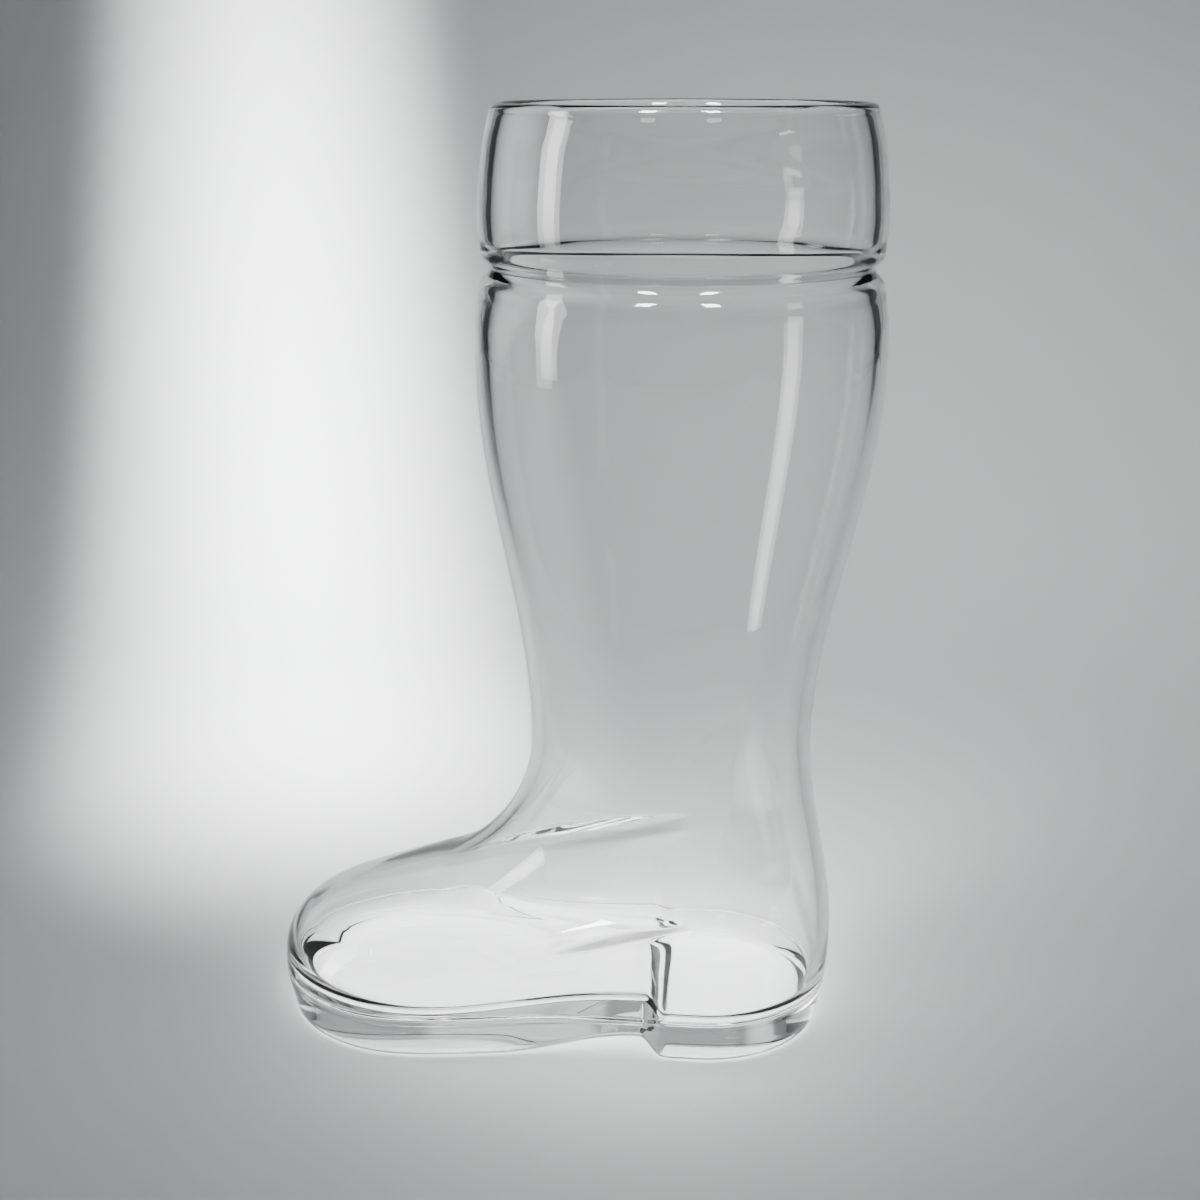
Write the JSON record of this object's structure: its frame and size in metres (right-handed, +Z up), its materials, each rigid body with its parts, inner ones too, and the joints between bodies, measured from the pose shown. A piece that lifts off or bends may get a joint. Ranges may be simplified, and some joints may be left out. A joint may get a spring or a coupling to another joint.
{
  "type": "beer boot glass",
  "caption": "Boot-shaped drinking glass in clear glass, with a barrel cuff, a grooved collar, a tapered shaft and a thick heeled sole.",
  "frame": {"origin": "on the table plane, under the middle of the glass's bounding box", "axes": "+Z up through the mouth, -X towards the toe, +Y across the foot"},
  "size_m": [0.1574, 0.1014, 0.24],
  "materials": {
    "clear_glass": "clear, fire-polished"
  },
  "bodies": {
    "root": {"boot_glass": "clear_glass"}
  },
  "joints": []
}
